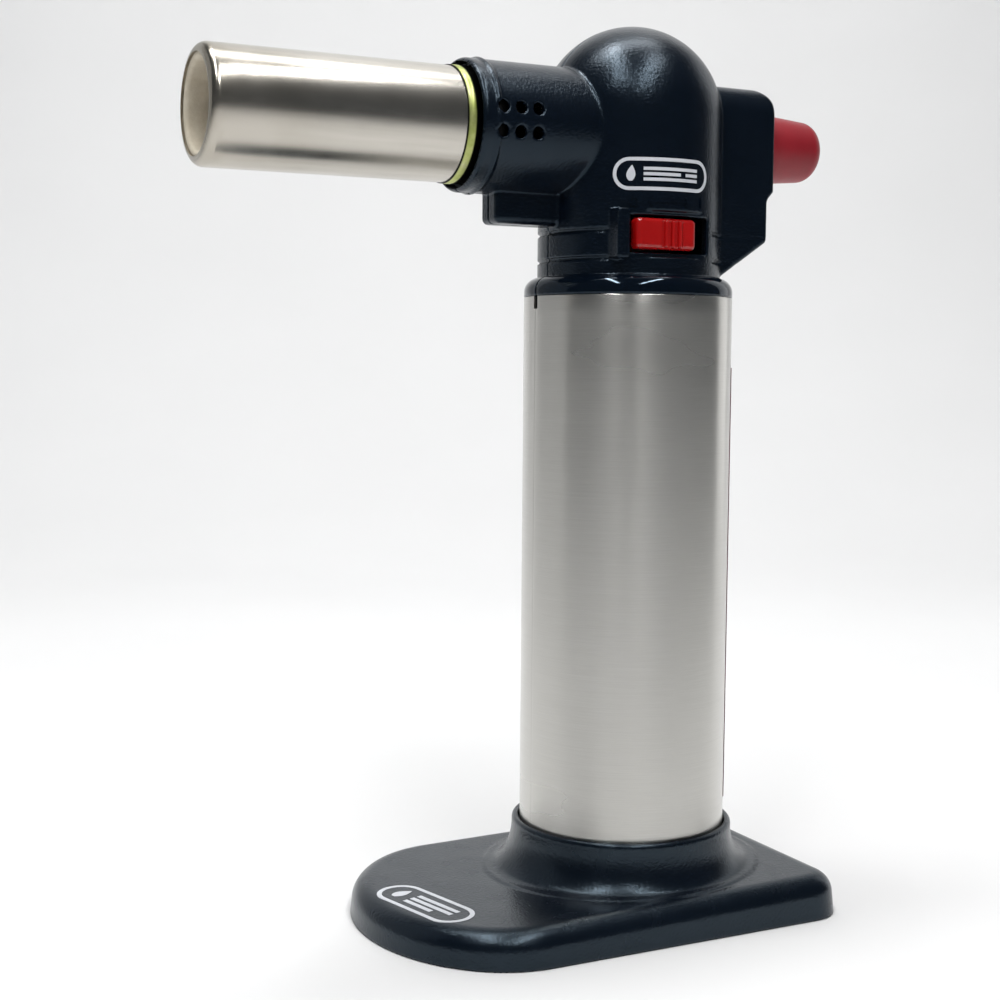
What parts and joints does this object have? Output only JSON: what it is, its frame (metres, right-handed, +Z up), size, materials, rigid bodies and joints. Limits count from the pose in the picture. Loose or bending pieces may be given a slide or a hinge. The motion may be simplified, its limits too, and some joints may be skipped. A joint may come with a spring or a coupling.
{
  "type": "hand torch",
  "caption": "Hand-held gas torch with a steel-sleeved tank, a dome head with a side barrel, a push igniter, a lock slide and a lift-off foot.",
  "frame": {"origin": "on the tank axis, in the plane of the foot's underside, which is the table", "axes": "+Z up along the tank axis; the nozzle points to -Y, the igniter button to +Y, and the lock slide is on +X"},
  "size_m": [0.065, 0.1414, 0.1856],
  "materials": {
    "base_plastic": "moulded satin black",
    "shell_plastic": "fine-grained satin blue-black",
    "feet_rubber": "matt black rubber",
    "sleeve_steel": "brushed round the tank",
    "tube_steel": "semi-polished, slightly smudged",
    "label_film": "plain dark red film",
    "tank_nylon": "natural moulded nylon",
    "seal_rubber": "black rubber",
    "valve_brass": "turned brass",
    "spring_steel": "drawn wire",
    "inner_plastic": "natural acetal",
    "zinc_yellow": "yellow passivated zinc",
    "ceramic_cream": "unglazed cream ceramic",
    "lead_red": "silicone insulation",
    "hose_black": "black hose",
    "igniter_black": "moulded black",
    "button_red": "satin raspberry red",
    "slide_red": "glossy red",
    "screw_steel": "blackened steel"
  },
  "bodies": {
    "stand": {"base_shell": "base_plastic", "base_feet": "feet_rubber"},
    "button": {"ignition_button": "button_red", "piezo_plunger": "inner_plastic"},
    "rocker": {"rocker": "inner_plastic"},
    "valve_stem": {"valve_stem": "valve_brass"},
    "lock": {"lock_slide": "slide_red", "lock_plate": "spring_steel"},
    "dial": {"flame_dial": "igniter_black"},
    "fill_stem": {"fill_valve_stem": "valve_brass"},
    "torch": {"tank_sleeve": "sleeve_steel", "tank_label": "label_film", "fuel_tank": "tank_nylon", "tank_cap": "igniter_black", "tank_gasket": "seal_rubber", "tank_foot": "igniter_black", "fill_valve_body": "valve_brass", "fill_valve_spring": "spring_steel", "fill_valve_seal": "seal_rubber", "dip_tube": "inner_plastic", "valve_body": "valve_brass", "valve_gasket": "seal_rubber", "valve_spring": "spring_steel", "rocker_pin": "spring_steel", "gas_hose": "hose_black", "jet_nozzle": "valve_brass", "mixer_tube": "valve_brass", "burner_adapter": "zinc_yellow", "burner_tube": "tube_steel", "ceramic_liner": "ceramic_cream", "flame_holder": "valve_brass", "electrode": "spring_steel", "electrode_insulator": "ceramic_cream", "ignition_lead": "lead_red", "piezo_body": "igniter_black", "piezo_spring": "spring_steel", "head_shell_right": "shell_plastic", "head_shell_left": "shell_plastic", "head_screws": "screw_steel"}
  },
  "joints": [
    {"name": "lift_off", "type": "slide", "parent": "stand", "child": "torch", "axis": [0, 0, 1], "range_m": [0, 0.03]},
    {"name": "button_press", "type": "slide", "parent": "torch", "child": "button", "axis": [0, -1, 0], "range_m": [0, 0.0045], "stiffness_N_per_m": 600, "springref_m": -0.004, "deforming": ["piezo_spring"]},
    {"name": "crank_tilt", "type": "hinge", "parent": "torch", "child": "rocker", "pos_m": [0, -0.0055, 0.1436], "axis": [1, 0, 0], "range_deg": [0, 18.6]},
    {"name": "valve_lift", "type": "slide", "parent": "torch", "child": "valve_stem", "axis": [0, 0, 1], "range_m": [0, 0.00178], "deforming": ["valve_spring"]},
    {"name": "lock_travel", "type": "slide", "parent": "torch", "child": "lock", "axis": [0, 1, 0], "range_m": [0, 0.0034]},
    {"name": "flame_turn", "type": "hinge", "parent": "torch", "child": "dial", "pos_m": [0, 0, 0.1359], "axis": [0, 0, 1], "range_deg": [-28, 28]},
    {"name": "fill_press", "type": "slide", "parent": "torch", "child": "fill_stem", "axis": [0, 0, 1], "range_m": [0, 0.0012], "stiffness_N_per_m": 500, "springref_m": -0.003, "deforming": ["fill_valve_spring"]}
  ],
  "couplings": [
    {"joint": "crank_tilt", "follows": "button_press", "rad_per_m": 71.4},
    {"joint": "valve_lift", "follows": "button_press", "ratio": 0.389}
  ]
}
